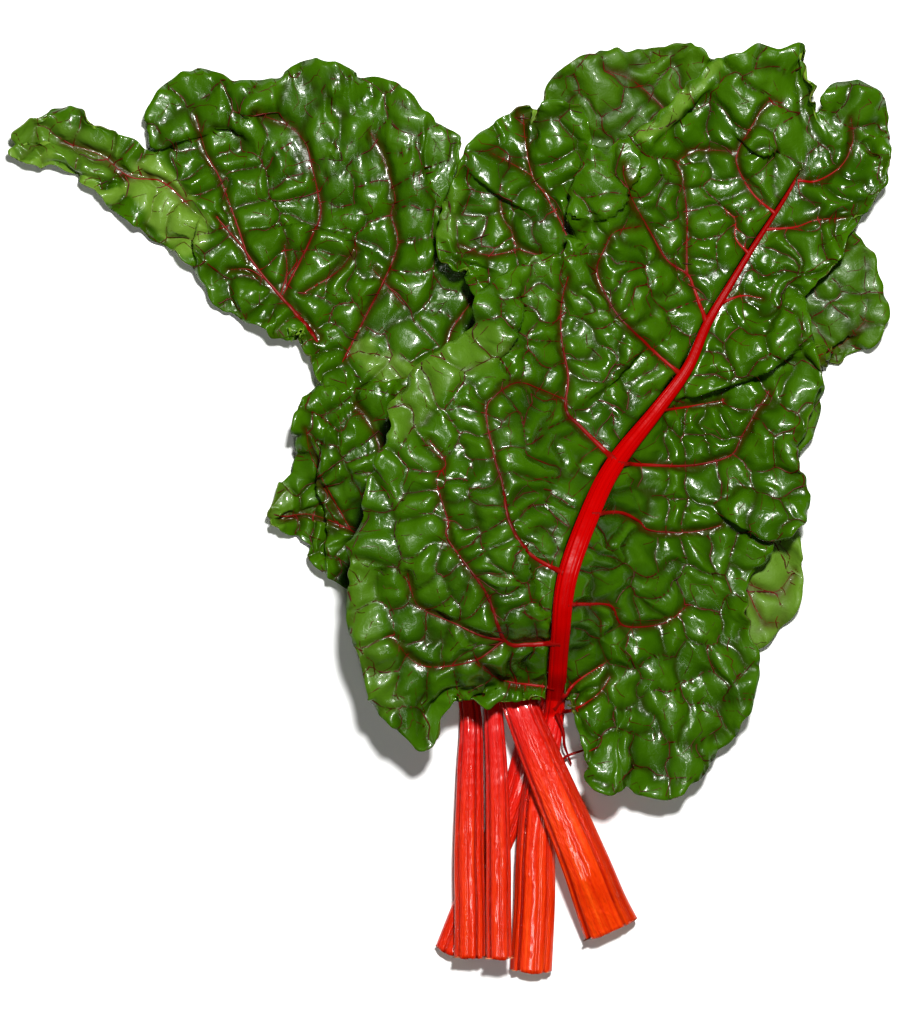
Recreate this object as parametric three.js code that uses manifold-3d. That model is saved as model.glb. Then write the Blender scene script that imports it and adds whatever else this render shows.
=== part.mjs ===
// A bunch of red swiss chard: five leaves lying on a table, their cut stalks gathered at the near end.
// Millimetres, +Z up. The table is z = 0, and +Y runs from the cut ends to the tips of the leaves.
// Each leaf is a red stalk, which goes on as the midrib, and a thin waved green blade.
import * as THREE from "three";
import { mergeVertices } from "three/addons/utils/BufferGeometryUtils.js";
import Module from "manifold-3d";

const wasm = await Module();
wasm.setup();

// Driving dimensions
const BLADE_THICKNESS = 1.2; // upright, so a steep part of a wave is a little thinner
const TOUCHING_GAP = 0.3; // between a slotted blade and the midrib in its slot
const RIB_DROP = 1; // between a whole blade and the midrib below it, whose facets differ from the blade's
const LYING_GAP = 0.5; // between a leaf and what it lies on
const STALK_FLATNESS = 0.46; // thickness of a stalk over its width
const RIB_FLATNESS = 0.7; // the same for the thin end of a midrib
const RIB_PROUD = 0.25; // how far a midrib in its slot stands above the blade, in parts of its thickness
const SIDE_VEIN_GAP = 0.4; // from the blade's top to the keel of a side vein that lies on it
const SAG = 0.35; // how far a blade sinks at each crossing of its grid between two supports
const RUFFLE_HEIGHT = 9; // waves of the margin
const RUFFLE_LENGTH = 46;
const PUCKER_HEIGHT = 1.6; // blisters of the blade
const PUCKER_LENGTH = 27;
const CELL = 2; // grid of the heights that the leaves are laid on
const FIELD = 480; // side of that grid's square
const RED = new THREE.Color(0.5, 0.02, 0.025);
const GREEN = new THREE.Color(0.045, 0.15, 0.02);

// A stalk's section in parts of its width and thickness: channelled above, flat below
const STALK_SECTION = [
  [0.5, 0.06], [0.42, 0.4], [0.25, 0.5], [0, 0.34], [-0.25, 0.5], [-0.42, 0.4],
  [-0.5, 0.06], [-0.38, -0.3], [-0.2, -0.5], [0.2, -0.5], [0.38, -0.3],
];
// A side vein's section in parts of its width, with a keel below
const VEIN_SECTION = [[0, 0], [0.5, 0.45], [-0.5, 0.45]];

// Each leaf, seen from above. stalk: x, y and width from the cut end to the end of the midrib, where the
// blade starts at point neck. left and right: the two margins from the neck to the tip. fan: how strongly
// the lines from midrib to margin crowd at the neck, on each side. rows and steps: the blade's grid.
const LEAVES = {
  front: {
    stalk: [
      [36, -210, 18], [38, -179, 17], [38.5, -158, 16], [40, -132, 14.5], [43, -109, 11.5], [45.5, -97, 9.5],
      [46.5, -87, 8.5], [48, -59, 8], [51, -31, 8], [62, -1, 7.6], [73, 20, 7], [92, 44, 6.2], [106, 63, 5.4],
      [115, 83, 4.6], [125, 100, 3.8], [136, 118, 3.2], [149, 138, 2.4], [158, 153, 1.6],
    ],
    neck: 6,
    left: [
      [39, -84], [25, -88], [13, -87], [-3, -88], [-9, -99], [-11, -106], [-18, -104], [-27, -97], [-34, -87],
      [-42, -63], [-45, -51], [-44, -34], [-45, -15], [-38, -8], [-38, 4], [-33, 21], [-27, 32], [-27, 42],
      [-21, 54], [-7, 68], [7, 75], [12, 86], [13, 95], [27, 106], [40, 112], [52, 112], [57, 122], [52, 136],
      [57, 148], [61, 160], [72, 160], [85, 170], [103, 185], [117, 200], [139, 206], [157, 209], [157, 195],
      [160, 184],
    ],
    right: [
      [53, -88], [57, -97], [60, -113], [67, -133], [72, -129], [78, -121], [82, -131], [106, -127],
      [120, -110], [132, -94], [137, -77], [138, -67], [131, -48], [130, -38], [138, -28], [141, -17],
      [155, -10], [160, 5], [156, 20], [155, 32], [163, 45], [165, 62], [162, 80], [158, 97], [169, 108],
      [179, 125], [187, 136], [194, 145], [195, 158], [199, 164], [196, 170], [199, 177], [192, 186],
      [179, 193], [171, 187],
    ],
    tip: [170, 179],
    fan: [1.75, 1.5],
    rows: 58,
    steps: 7,
    slot: true,
  },
  upper_left: {
    stalk: [
      [72, -191, 25.6], [67, -179, 23.6], [59, -158, 21.5], [43, -120, 18.5], [29.5, -87, 15.5],
      [22, -68, 13], [12, -42, 11], [-5, 3, 8.5], [-23, 35, 7.4], [-46, 59, 6.6], [-63, 77, 6], [-86, 104, 5.2],
      [-106, 131, 4.4], [-140, 147, 3.4], [-167, 161, 2.4], [-188, 166, 1.6],
    ],
    neck: 6,
    left: [
      [7, -44], [-5, -26], [-23, 10], [-46, 37], [-61, 57], [-67, 73], [-71, 80], [-84, 79], [-95, 87],
      [-108, 93], [-112, 107], [-128, 117], [-140, 126], [-152, 134], [-157, 142], [-176, 154], [-188, 158], [-197, 160],
    ],
    right: [
      [17, -36], [24, -10], [24, 30], [22, 57], [17, 93], [11, 120], [6, 143], [4, 160], [-2, 171],
      [-10, 176], [-24, 191], [-43, 194], [-51, 201], [-71, 200], [-83, 192], [-95, 191], [-110, 197], [-124, 194],
      [-135, 184], [-137, 172], [-133, 160], [-144, 163], [-157, 170], [-170, 182], [-180, 178], [-193, 172],
    ],
    tip: [-200, 166],
    fan: [1.1, 1.9],
    rows: 46,
    steps: 6,
  },
  middle_left: {
    stalk: [
      [8, -203, 13.4], [8, -179, 13], [7.5, -158, 12.4], [8, -120, 11], [8, -92, 9.4], [2, -65, 7.6],
      [-10, -42, 6.4], [-25, -24, 5.2], [-46, -10, 4], [-64, -3, 2.8], [-78, -3, 1.6],
    ],
    neck: 5,
    left: [
      [-4, -66], [-14, -69], [-32, -53], [-45, -36], [-56, -30], [-63, -24], [-65, -14], [-74, -12],
    ],
    right: [
      [6, -58], [8, -42], [4, 3], [-8, 39], [-18, 58], [-30, 54], [-48, 53], [-62, 53], [-69, 46], [-72, 34],
      [-71, 22], [-75, 12], [-82, 9],
    ],
    tip: [-84, -5],
    fan: [1.2, 1.9],
    rows: 30,
    steps: 6,
  },
  upper_middle: {
    stalk: [
      [21, -203, 10], [20.7, -179, 10], [20.7, -158, 9.6], [20, -120, 8.6], [18.5, -89, 7.6], [20, -65, 7],
      [22, -42, 6.6], [35, 25, 5.4], [46, 84, 4.4], [48, 120, 3.4], [42, 145, 2.6], [36, 168, 1.6],
    ],
    neck: 6,
    left: [
      [17, -40], [10, 20], [9, 60], [15, 98], [6, 104], [-5, 117], [-8, 125], [-2, 137], [2, 152], [8, 157],
      [10, 167], [24, 173],
    ],
    right: [
      [27, -38], [49, 12], [62, 48], [67, 93], [63, 138], [61, 160], [61, 173], [50, 183],
    ],
    tip: [38, 182],
    fan: [1.3, 1.3],
    rows: 30,
    steps: 6,
  },
  back: {
    stalk: [
      [-1.6, -202, 16.6], [6, -184, 16], [13, -168, 15], [28, -132, 13], [35, -103, 11], [43, -76, 9.5],
      [58, -40, 8], [76, 12, 6.6], [96, 66, 5.2], [112, 120, 3.8], [119, 165, 2.6], [119, 192, 1.6],
    ],
    neck: 6,
    left: [
      [52, -36], [46, -18], [42, 10], [42, 70], [46, 130], [49, 178], [43, 192], [60, 203], [80, 205],
      [100, 207],
    ],
    right: [
      [63, -46], [82, -62], [112, -69], [139, -62], [152, -52], [158, -28], [156, -12], [148, 2], [150, 20],
      [163, 34], [168, 55], [165, 75], [184, 68], [195, 78], [193, 100], [191, 115], [180, 125], [172, 145],
      [160, 170], [142, 192],
    ],
    tip: [120, 206],
    fan: [1.3, 1.6],
    rows: 38,
    steps: 6,
  },
};
// The order in which the stalks, and then the blades, are laid on one another
const STALK_ORDER = ["back", "front", "middle_left", "upper_middle", "upper_left"];
const BLADE_ORDER = ["back", "upper_left", "middle_left", "upper_middle", "front"];

// Side veins of the front leaf, from its midrib outwards, with their width at the midrib
const SIDE_VEINS = [
  [3.4, [46, -60], [23, -59], [15, -38], [-2, -14], [-5, 4], [-8, 24]],
  [2.2, [23, -59], [13, -57], [-12, -46], [-20, -29]],
  [2.4, [46, -80], [25, -78], [10, -69], [-8, -71], [-22, -62]],
  [3, [52, -28], [34, -20], [25, -6], [20, 21], [15, 42], [22, 52]],
  [3.4, [72, 21], [58, 36], [51, 44], [52, 59], [49, 76], [51, 98]],
  [2.6, [105, 64], [85, 76], [74, 87], [66, 104], [73, 124]],
  [3, [116, 85], [109, 100], [97, 112], [81, 139], [78, 148]],
  [2, [136, 118], [130, 135], [128, 150], [138, 176]],
  [3.4, [47, -80], [57, -75], [68, -70]],
  [2.8, [51, -43], [71, -44], [77, -53], [95, -52], [104, -46]],
  [2.8, [61, -3], [75, -2], [89, -10], [106, -11], [119, -8]],
  [3, [74, 20], [99, 19], [126, 24], [131, 33], [141, 48]],
  [2.4, [92, 44], [105, 45], [123, 49]],
  [1.8, [122, 94], [140, 95]],
  [2, [141, 125], [155, 127], [164, 130], [176, 131]],
];

const lerp = THREE.MathUtils.lerp;
const smooth = THREE.MathUtils.smoothstep;

// A smooth line through hand-set points. The third number of a point, a width or nothing, runs along with it.
function lineThrough(points) {
  const corners = points.map(([x, y, width = 0]) => new THREE.Vector3(x, y, width));
  return new THREE.CatmullRomCurve3(corners, false, "centripetal");
}

// The one of several places that is nearest to a point in plan
function nearest(places, point) {
  const away = places.map((place) => Math.hypot(place.x - point.x, place.y - point.y));
  return places[away.indexOf(Math.min(...away))];
}

// The heights of what has been laid down so far
const side = Math.round(FIELD / CELL);
const pile = new Float32Array(side * side);

function cellOf(x, y) {
  return [Math.floor((x + FIELD / 2) / CELL), Math.floor((y + FIELD / 2) / CELL)];
}

function raise(x, y, z) {
  const [i, j] = cellOf(x, y);
  pile[i + side * j] = Math.max(pile[i + side * j], z);
}

// The highest thing within a reach of a place
function highest(x, y, reach) {
  const [i0, j0] = cellOf(x - reach, y - reach);
  const [i1, j1] = cellOf(x + reach, y + reach);
  let top = 0;
  for (let j = j0; j <= j1; j += 1) {
    for (let i = i0; i <= i1; i += 1) {
      top = Math.max(top, pile[i + side * j]);
    }
  }
  return top;
}

// Raises the pile to a triangle of three points
function raiseTriangle(a, b, c) {
  const longest = Math.max(a.distanceTo(b), b.distanceTo(c), c.distanceTo(a));
  const parts = Math.ceil(longest / (0.6 * CELL));
  for (let i = 0; i <= parts; i += 1) {
    for (let j = 0; j <= parts - i; j += 1) {
      const u = i / parts;
      const v = j / parts;
      const w = 1 - u - v;
      raise(a.x * u + b.x * v + c.x * w, a.y * u + b.y * v + c.y * w, a.z * u + b.z * v + c.z * w);
    }
  }
}

// A closed body through a row of rings that all have the same number of points
function bodyThrough(rings) {
  const around = rings[0].length;
  const shell = new THREE.CylinderGeometry(1, 1, 1, around, rings.length - 1).toNonIndexed();
  const place = shell.getAttribute("position");
  for (let k = 0; k < place.count; k += 1) {
    const level = Math.round((0.5 - place.getY(k)) * (rings.length - 1));
    const radius = Math.hypot(place.getX(k), place.getZ(k));
    const turn = Math.atan2(place.getX(k), place.getZ(k)) / (2 * Math.PI);
    const ring = rings[level];
    const point = new THREE.Vector3();
    if (radius < 0.5) {
      ring.forEach((corner) => point.addScaledVector(corner, 1 / around));
    } else {
      point.copy(ring[Math.round((turn + 1) * around) % around]);
    }
    place.setXYZ(k, point.x, point.y, point.z);
  }
  return facesOut(shell);
}

// Joins the corners of a geometry that lie together, and turns its faces outwards
function facesOut(geometry) {
  geometry.deleteAttribute("normal");
  geometry.deleteAttribute("uv");
  const joined = mergeVertices(geometry, 1e-3);
  const index = Array.from(joined.index.array);
  const place = joined.getAttribute("position");
  const corner = (k) => new THREE.Vector3().fromBufferAttribute(place, index[k]);
  let volume = 0;
  for (let k = 0; k < index.length; k += 3) {
    volume += corner(k).dot(corner(k + 1).cross(corner(k + 2)));
  }
  if (volume < 0) {
    for (let k = 0; k < index.length; k += 3) {
      [index[k], index[k + 1]] = [index[k + 1], index[k]];
    }
  }
  joined.setIndex(index);
  return joined;
}

function toManifold(geometry) {
  const vertProperties = new Float32Array(geometry.getAttribute("position").array);
  const triVerts = new Uint32Array(geometry.index.array);
  return new wasm.Manifold(new wasm.Mesh({ numProp: 3, vertProperties, triVerts }));
}

function toGeometry(solid) {
  const mesh = solid.getMesh();
  const geometry = new THREE.BufferGeometry();
  geometry.setAttribute("position", new THREE.BufferAttribute(new Float32Array(mesh.vertProperties), 3));
  geometry.setIndex(Array.from(mesh.triVerts));
  return geometry;
}

function thicknessOf(width) {
  return width * lerp(RIB_FLATNESS, STALK_FLATNESS, smooth(width, 4, 10));
}

// Places along a stalk up to its neck: point in plan, direction across, width and thickness
function stalkPlaces(leaf) {
  const line = lineThrough(leaf.stalk);
  const last = leaf.stalk.length - 1;
  const places = [];
  const parts = 3; // places in each stretch between two hand-set points
  for (let k = 0; k <= parts * leaf.neck; k += 1) {
    const at = line.getPoint(k / (parts * last));
    const ahead = line.getTangent(k / (parts * last));
    const across = new THREE.Vector2(ahead.y, -ahead.x).normalize();
    places.push({ x: at.x, y: at.y, across, width: at.z, thick: thicknessOf(at.z), z: 0 });
  }
  return places;
}

// The highest thing below the footprint of a stalk at one place
function underStalk(place, reach) {
  let top = 0;
  const half = place.width / 2 - 1;
  for (const part of [-1, -0.5, 0, 0.5, 1]) {
    const away = part * half;
    const under = highest(place.x + away * place.across.x, place.y + away * place.across.y, reach);
    top = Math.max(top, under);
  }
  return top;
}

// Lays a stalk on the pile, as a string drawn over what lies there
function layStalk(places) {
  const last = places.length - 1;
  const floor = places.map((place) => underStalk(place, 3.5) + place.thick / 2);
  floor.forEach((height, k) => {
    places[k].z = height > places[k].thick / 2 ? height + LYING_GAP : height;
  });
  const least = places.map((place) => place.z);
  for (let from = 0; from < last; from += 1) {
    for (let to = from + 2; to <= last; to += 1) {
      for (let k = from + 1; k < to; k += 1) {
        const drawn = lerp(least[from], least[to], (k - from) / (to - from));
        places[k].z = Math.max(places[k].z, drawn);
      }
    }
  }
}

// Raises the pile to the top of a stalk
function raiseStalk(places) {
  for (let k = 0; k < places.length - 1; k += 1) {
    const a = places[k];
    const b = places[k + 1];
    const corner = (place, part) => new THREE.Vector3(
      place.x + part * place.width * place.across.x,
      place.y + part * place.width * place.across.y,
      place.z + place.thick / 2,
    );
    raiseTriangle(corner(a, -0.5), corner(a, 0.5), corner(b, 0.5));
    raiseTriangle(corner(a, -0.5), corner(b, 0.5), corner(b, -0.5));
  }
}

// The part of a margin, 0 at the neck and 1 at the tip, that belongs to a part of the midrib
function marginPart(part, fan) {
  let low = 0;
  let high = 1;
  for (let k = 0; k < 40; k += 1) {
    const u = (low + high) / 2;
    if (0.3 * u + 0.7 * u ** fan < part) {
      low = u;
    } else {
      high = u;
    }
  }
  return low;
}

// The crossings of a blade's grid in plan. Row 0 is at the neck. Columns run from the left margin to the
// right one. A slotted blade has two columns beside the midrib, a whole one has a column on its line.
function bladeGrid(leaf) {
  const rib = lineThrough([...leaf.stalk.slice(leaf.neck), [...leaf.tip, 0.6]]);
  const ribLength = lineThrough(leaf.stalk.slice(leaf.neck)).getLength();
  const margins = [leaf.left, leaf.right].map((points) => lineThrough([...points, leaf.tip]));
  const grid = [];
  const centres = [];
  for (let row = 0; row <= leaf.rows; row += 1) {
    const u = (0.985 * row) / leaf.rows;
    const part = 0.3 * u + 0.7 * u ** ((leaf.fan[0] + leaf.fan[1]) / 2);
    const at = rib.getPointAt(part);
    const ahead = rib.getTangentAt(part);
    const across = new THREE.Vector2(ahead.y, -ahead.x).normalize();
    const half = leaf.slot ? at.z / 2 + TOUCHING_GAP : 0;
    const pastRib = part * rib.getLength() > ribLength + 2 * TOUCHING_GAP;
    centres.push({ x: at.x, y: at.y, across, width: at.z, thick: thicknessOf(at.z), pastRib, z: 0 });
    const halves = [-1, 1].map((hand, which) => {
      const start = new THREE.Vector2(at.x, at.y).addScaledVector(across, hand * half);
      const end = margins[which].getPointAt(marginPart(part, leaf.fan[which]));
      const bend = start.clone().addScaledVector(across, hand * 0.45 * start.distanceTo(end));
      const line = new THREE.QuadraticBezierCurve(start, bend, new THREE.Vector2(end.x, end.y));
      return Array.from({ length: leaf.steps + 1 }, (unused, step) => {
        const t = (step / leaf.steps) ** 1.15;
        const point = line.getPoint(t);
        return { x: point.x, y: point.y, t, hand, z: 0 };
      });
    });
    const left = halves[0].reverse();
    const right = leaf.slot ? halves[1] : halves[1].slice(1);
    grid.push([...left, ...right]);
  }
  return { grid, centres };
}

// Waves and blisters of a blade, never below nought, so that they only lift it off what it lies on
function relief(node, along) {
  const wave = Math.sin((2 * Math.PI * along) / RUFFLE_LENGTH + 1.7 * node.hand);
  const second = Math.sin((2 * Math.PI * along) / (0.57 * RUFFLE_LENGTH) + 0.9);
  const ruffle = RUFFLE_HEIGHT * node.t ** 2.2 * (0.5 + 0.32 * wave + 0.18 * second);
  const k = (2 * Math.PI) / PUCKER_LENGTH;
  const pucker = Math.sin(k * (node.x + 0.4 * node.y)) * Math.sin(k * (node.y - 0.3 * node.x) + 0.6);
  const rise = smooth(node.t, 0.02, 0.25) * (1 - 0.6 * smooth(node.t, 0.85, 1));
  return ruffle + PUCKER_HEIGHT * (1 + pucker) * rise;
}

// Lays a blade on the pile: each crossing sinks between its neighbours until it meets what is below
function layBlade(leaf, neck) {
  const { grid, centres } = bladeGrid(leaf);
  const columns = grid[0].length;
  const middle = leaf.slot ? [columns / 2 - 1, columns / 2] : [(columns - 1) / 2];
  const aboveRib = (place) => place.thick / 2 + RIB_DROP + BLADE_THICKNESS / 2;
  const neckHeight = leaf.slot ? neck.z - RIB_PROUD * neck.thick : neck.z + aboveRib(neck);
  grid.forEach((line, row) => line.forEach((node, column) => {
    const around = [-1, 0, 1].flatMap((i) => [-1, 0, 1].map((j) => grid[row + i]?.[column + j] ?? node));
    const reach = Math.max(...around.map((other) => Math.hypot(other.x - node.x, other.y - node.y)));
    const below = highest(node.x, node.y, Math.min(reach, 15));
    node.least = below + (below > 0 ? LYING_GAP : 0) + BLADE_THICKNESS / 2;
    const rib = nearest(centres, node);
    const away = Math.hypot(rib.x - node.x, rib.y - node.y);
    const lift = leaf.slot ? (0.5 - RIB_PROUD) * rib.thick : rib.thick + RIB_DROP;
    node.least += lift * (1 - smooth(away, rib.width / 2 + 4, rib.width / 2 + 16));
    node.onRib = middle.includes(column);
    node.z = Math.max(node.least, neckHeight);
  }));
  for (let sweep = 0; sweep < 260; sweep += 1) {
    for (let row = 0; row <= leaf.rows; row += 1) {
      for (let column = 0; column < columns; column += 1) {
        const node = grid[row][column];
        const along = [grid[row - 1]?.[column], grid[row + 1]?.[column]];
        const beside = [grid[row][column - 1], grid[row][column + 1]];
        const there = [...along, ...beside].filter((other) => other !== undefined);
        const mean = there.reduce((sum, other) => sum + other.z, 0) / there.length;
        const sunk = mean - SAG * (node.onRib ? 0.15 : 1);
        node.z = row === 0 && node.onRib ? neckHeight : Math.max(node.least, sunk);
        if (!leaf.slot && Math.abs(column - middle[0]) === 1) {
          node.z = Math.max(node.z, grid[row][middle[0]].z); // level with the midrib below it
        }
      }
      if (leaf.slot) {
        const level = Math.max(grid[row][middle[0]].z, grid[row][middle[1]].z);
        middle.forEach((column) => {
          grid[row][column].z = level;
        });
      }
    }
  }
  const along = new Array(columns).fill(0);
  grid.forEach((line, row) => line.forEach((node, column) => {
    if (row > 0) {
      const before = grid[row - 1][column];
      along[column] += Math.hypot(node.x - before.x, node.y - before.y);
    }
    const edge = node.hand < 0 ? along[0] : along[columns - 1];
    node.z += node.onRib ? 0 : relief(node, edge);
  }));

  // The midrib takes its heights from the blade
  const rib = [];
  for (let row = 2; row < leaf.rows && !centres[row].pastRib; row += 2) {
    const place = centres[row];
    const levels = [row - 1, row, row + 1].map((near) => grid[near][middle[0]].z);
    const level = leaf.slot ? levels[1] + RIB_PROUD * place.thick : Math.min(...levels) - aboveRib(place);
    place.z = Math.max(level, place.thick / 2);
    rib.push(place);
  }
  const slotEnd = centres.findIndex((place) => place.pastRib);
  return { grid, middle, rib, slotEnd };
}

// The triangles of a blade's grid, leaving out the slot of the midrib up to the row where it ends
function bladeTriangles(leaf, blade) {
  const columns = blade.grid[0].length;
  const triangles = [];
  for (let row = 0; row < leaf.rows; row += 1) {
    for (let column = 0; column < columns - 1; column += 1) {
      if (leaf.slot && column === blade.middle[0] && row < blade.slotEnd) {
        continue;
      }
      const a = row * columns + column;
      const b = a + 1;
      const c = a + columns + 1;
      const d = a + columns;
      if (column < columns / 2 - 0.5) {
        triangles.push([a, b, c], [a, c, d]);
      } else {
        triangles.push([a, b, d], [b, c, d]);
      }
    }
  }
  return triangles;
}

// A closed thin body: the grid half a thickness up and half down, with a wall along every free edge
function thicken(nodes, triangles) {
  const points = [];
  for (const hand of [1, -1]) {
    nodes.forEach((node) => points.push(node.x, node.y, node.z + (hand * BLADE_THICKNESS) / 2));
  }
  const low = nodes.length;
  const edges = new Map();
  const index = [];
  for (const [a, b, c] of triangles) {
    index.push(a, b, c, low + a, low + c, low + b);
    for (const [from, to] of [[a, b], [b, c], [c, a]]) {
      const back = `${to},${from}`;
      if (edges.has(back)) {
        edges.delete(back);
      } else {
        edges.set(`${from},${to}`, [from, to]);
      }
    }
  }
  for (const [from, to] of edges.values()) {
    index.push(from, low + from, low + to, from, low + to, to);
  }
  const body = new THREE.BufferGeometry();
  body.setAttribute("position", new THREE.BufferAttribute(new Float32Array(points), 3));
  body.setIndex(index);
  return facesOut(body.toNonIndexed());
}

// The height of a blade's top at a place in plan, or nothing off the blade
function topAt(nodes, triangles, x, y) {
  let best = null;
  for (const [a, b, c] of triangles) {
    const [p, q, r] = [nodes[a], nodes[b], nodes[c]];
    const area = (q.x - p.x) * (r.y - p.y) - (r.x - p.x) * (q.y - p.y);
    const v = ((x - p.x) * (r.y - p.y) - (r.x - p.x) * (y - p.y)) / area;
    const w = ((q.x - p.x) * (y - p.y) - (x - p.x) * (q.y - p.y)) / area;
    if (v >= -1e-9 && w >= -1e-9 && v + w <= 1 + 1e-9) {
      const z = p.z * (1 - v - w) + q.z * v + r.z * w + BLADE_THICKNESS / 2;
      best = best === null ? z : Math.max(best, z);
    }
  }
  return best;
}

// A side vein lying on a blade, from inside the midrib to its thin end
function sideVein([width, ...points], nodes, triangles, places) {
  const line = lineThrough(points);
  const step = 6;
  const count = Math.ceil(line.getLength() / step);
  const rings = [];
  for (let k = 0; k <= count; k += 1) {
    const at = line.getPointAt(k / count);
    const ahead = line.getTangentAt(k / count).setZ(0).normalize();
    const across = new THREE.Vector3(ahead.y, -ahead.x, 0);
    const size = width * lerp(1, 0.4, k / count);
    const spots = [[0, 0], [0, 0.5], [0, -0.5], [0.5, 0], [-0.5, 0], [0.25, 0], [-0.25, 0]];
    const tops = spots.map(([a, b]) => {
      const spot = at.clone().addScaledVector(ahead, a * step).addScaledVector(across, b * size);
      return topAt(nodes, triangles, spot.x, spot.y);
    });
    const rib = nearest(places, at);
    const base = tops[0] === null ? rib.z + 0.1 * rib.thick : Math.max(...tops) + SIDE_VEIN_GAP;
    const corner = ([a, b]) => at.clone().setZ(base + b * size).addScaledVector(across, a * size);
    rings.push(VEIN_SECTION.map(corner));
  }
  return bodyThrough(rings);
}

function mesh(geometry, name, color, roughness) {
  const piece = new THREE.Mesh(geometry, new THREE.MeshStandardMaterial({ color, roughness, metalness: 0 }));
  piece.name = name;
  return piece;
}

const bunch = new THREE.Group();
bunch.name = "swiss_chard_bunch";

const stalks = {};
for (const name of STALK_ORDER) {
  const leaf = LEAVES[name];
  stalks[name] = stalkPlaces(leaf);
  layStalk(stalks[name]);
  raiseStalk(stalks[name]);
}

for (const name of BLADE_ORDER) {
  const leaf = LEAVES[name];
  const blade = layBlade(leaf, stalks[name].at(-1));
  const places = [...stalks[name], ...blade.rib];
  const nodes = blade.grid.flat();
  const triangles = bladeTriangles(leaf, blade);

  const rings = places.map((place) => STALK_SECTION.map(([a, b]) => new THREE.Vector3(
    place.x + a * place.width * place.across.x,
    place.y + a * place.width * place.across.y,
    place.z + b * place.thick,
  )));
  let stalk = toManifold(bodyThrough(rings));
  if (name === "front") {
    for (const vein of SIDE_VEINS) {
      stalk = stalk.add(toManifold(sideVein(vein, nodes, triangles, places)));
    }
  }
  bunch.add(mesh(toGeometry(stalk), `${name}_stalk`, RED, 0.3));
  bunch.add(mesh(thicken(nodes, triangles), `${name}_blade`, GREEN, 0.35));
  raiseStalk(blade.rib);
  const at = (k) => new THREE.Vector3(nodes[k].x, nodes[k].y, nodes[k].z + BLADE_THICKNESS / 2);
  for (const [a, b, c] of triangles) {
    raiseTriangle(at(a), at(b), at(c));
  }
}

// The origin is the middle of the box, on the table
const box = new THREE.Box3().setFromObject(bunch);
const middle = box.getCenter(new THREE.Vector3());
bunch.position.set(-middle.x, -middle.y, -box.min.z);

export default bunch;
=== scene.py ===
"""The looks of a bunch of red swiss chard that lies on a pale floor, seen from straight above.

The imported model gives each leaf's stalk and blade at their real place and size. Every blade gets its
blisters, folds, crinkled margin, thickness and red veins here, and every stalk its ribs, grooves and cut end.
"""

import math
import random

import bmesh
import bpy
import numpy as np
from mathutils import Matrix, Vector, geometry
from mathutils.bvhtree import BVHTree


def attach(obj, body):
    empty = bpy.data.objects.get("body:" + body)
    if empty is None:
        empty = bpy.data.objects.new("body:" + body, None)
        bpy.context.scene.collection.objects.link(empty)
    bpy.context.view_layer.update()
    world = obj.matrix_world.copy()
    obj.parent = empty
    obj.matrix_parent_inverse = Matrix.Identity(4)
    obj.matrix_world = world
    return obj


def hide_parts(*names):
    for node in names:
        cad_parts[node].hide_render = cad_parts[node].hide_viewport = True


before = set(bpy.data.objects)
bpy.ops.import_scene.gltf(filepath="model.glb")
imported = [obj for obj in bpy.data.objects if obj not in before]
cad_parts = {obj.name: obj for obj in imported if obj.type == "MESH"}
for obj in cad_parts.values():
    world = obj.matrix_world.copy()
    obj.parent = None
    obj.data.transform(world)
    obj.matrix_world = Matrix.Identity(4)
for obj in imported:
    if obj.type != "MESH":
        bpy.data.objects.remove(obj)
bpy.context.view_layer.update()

MM = 0.001
BLADE_THICKNESS = 0.7 * MM
REST_GAP = 0.9 * MM  # least height of one leaf above another
FLOOR_GAP = 0.3 * MM
LIFT_PASSES = 24  # how often the lift of a blade is smoothed
STALK_STEP = 1.5  # millimetres from one ring of a stalk to the next
STALK_SIDES = 96
FRONT_ROWS_OUT = 18  # rows of the front blade's grid that are too crowded to keep
CHUNK = 2000  # places worked out at a time
DOWN = Vector((0, 0, -1))

# Stalk and midrib of each leaf seen from above, in millimetres: x, y and width, from the cut end
STALKS = {
    "front": [
        (35.5, -210, 19), (37.1, -179, 18.6), (37.5, -158, 17.8), (39, -132, 16), (42.6, -109, 12.2),
        (45.4, -97, 9.7), (46.5, -87, 8.5), (48, -59, 8.4), (51, -31, 9), (62, -1, 9), (73, 20, 8.4),
        (92, 44, 6.6), (106, 63, 5.2), (115, 83, 4.2), (125, 100, 3.4), (136, 118, 2.6), (149, 138, 1.9),
        (158, 153, 1.3),
    ],
    "upper_left": [
        (72, -191, 25.6), (67, -179, 23.6), (59, -158, 21.5), (43, -120, 18.5), (29.5, -87, 15.5),
        (22, -68, 13), (12, -42, 11), (-5, 3, 8.5), (-23, 35, 7.4), (-46, 59, 6.6), (-63, 77, 6),
        (-86, 104, 5.2), (-106, 131, 4.4), (-140, 147, 3.4), (-167, 161, 2.4), (-188, 166, 1.6),
    ],
    "middle_left": [
        (8, -203, 14.4), (8, -179, 14), (7.5, -158, 13.6), (8, -120, 12), (8, -92, 9.8), (2, -65, 7.6),
        (-10, -42, 6.4), (-25, -24, 5.2), (-46, -10, 4), (-64, -3, 2.8), (-78, -3, 1.6),
    ],
    "upper_middle": [
        (21, -203, 11.4), (20.7, -179, 11.4), (20.7, -158, 11.2), (20, -120, 10), (18.5, -89, 8.4),
        (20, -65, 7), (22, -42, 6.6), (35, 25, 5.4), (46, 84, 4.4), (48, 120, 3.4), (42, 145, 2.6),
        (36, 168, 1.6),
    ],
    "back": [
        (-0.6, -202, 15.6), (6.4, -184, 15.4), (13, -168, 15), (28, -132, 13), (35, -103, 11),
        (43, -76, 9.5), (58, -40, 8), (76, 12, 6.6), (96, 66, 5.2), (112, 120, 3.8), (119, 165, 2.6),
        (119, 192, 1.6),
    ],
}
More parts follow.
